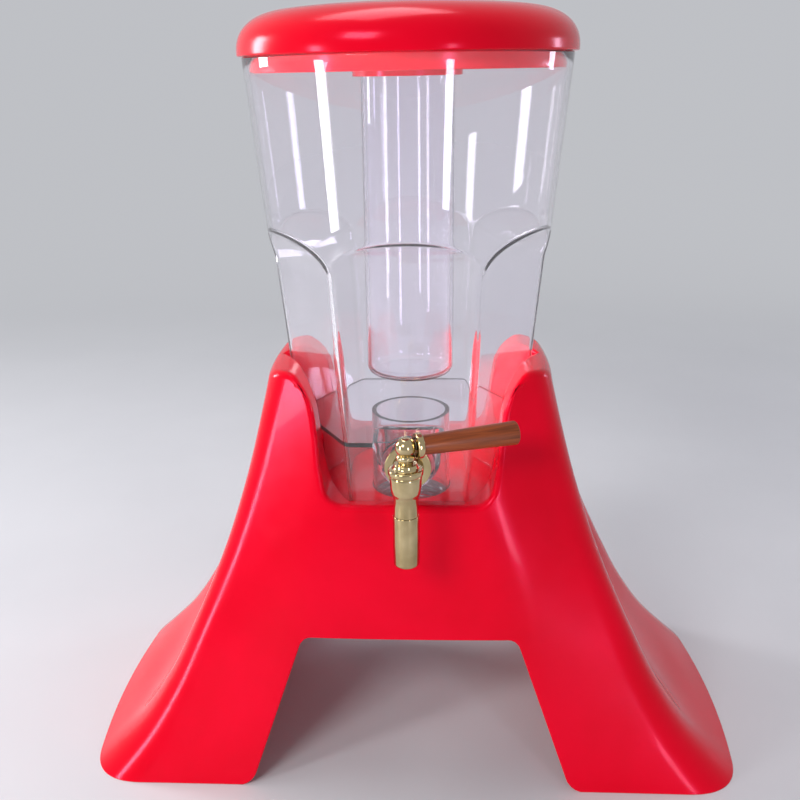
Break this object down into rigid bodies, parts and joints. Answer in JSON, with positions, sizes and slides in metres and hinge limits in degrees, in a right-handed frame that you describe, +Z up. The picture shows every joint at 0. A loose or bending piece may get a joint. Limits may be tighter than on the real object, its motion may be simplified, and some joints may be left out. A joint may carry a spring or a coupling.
{
  "type": "beer tower dispenser",
  "caption": "Clear tapered drink tank with an ice tube and domed red lid, in a red two-legged stand, with a plated tap and wooden lever.",
  "frame": {"origin": "on the floor, under the middle of the whole part's box; the tank's axis stands 10.1 mm behind it", "axes": "+X to the right seen from the tap side, -Y towards the tap, +Z up"},
  "size_m": [0.448, 0.2303, 0.4865],
  "materials": {
    "red_plastic": "polished moulded polypropylene",
    "clear_plastic": "clear moulded acrylic",
    "dark_plastic": "moulded",
    "seal_rubber": "matt",
    "plated_brass": "pale bright plating",
    "steel": "turned",
    "handle_wood": "varnished"
  },
  "bodies": {
    "base": {"stand": "red_plastic", "tank": "clear_plastic", "tank_ring_nut": "dark_plastic", "tap_body": "plated_brass", "tap_nozzle": "plated_brass", "plug_collar_nut": "plated_brass", "plug_friction_washer": "plated_brass", "tap_backing_disc": "plated_brass", "outer_gasket": "seal_rubber", "inner_gasket": "seal_rubber", "inner_washer": "steel", "tap_lock_nut": "steel"},
    "lid": {"lid": "red_plastic"},
    "ice_tube": {"ice_tube": "clear_plastic", "ice_tube_seal": "seal_rubber"},
    "tap_lever": {"tap_plug": "plated_brass", "plug_seal_rings": "seal_rubber", "lever_stud": "steel", "handle_ferrule": "plated_brass", "wood_handle": "handle_wood"}
  },
  "joints": [
    {"name": "lid_lift", "type": "slide", "parent": "base", "child": "lid", "axis": [0, 0, 1], "range_m": [0, 0.24]},
    {"name": "ice_tube_twist", "type": "hinge", "parent": "lid", "child": "ice_tube", "pos_m": [0, 0.0101, 0.452], "axis": [0, 0, 1], "range_deg": [0, 90]},
    {"name": "tap_turn", "type": "hinge", "parent": "base", "child": "tap_lever", "pos_m": [0, -0.1049, 0.2482], "axis": [0, 0, 1], "range_deg": [-90, 0]}
  ]
}
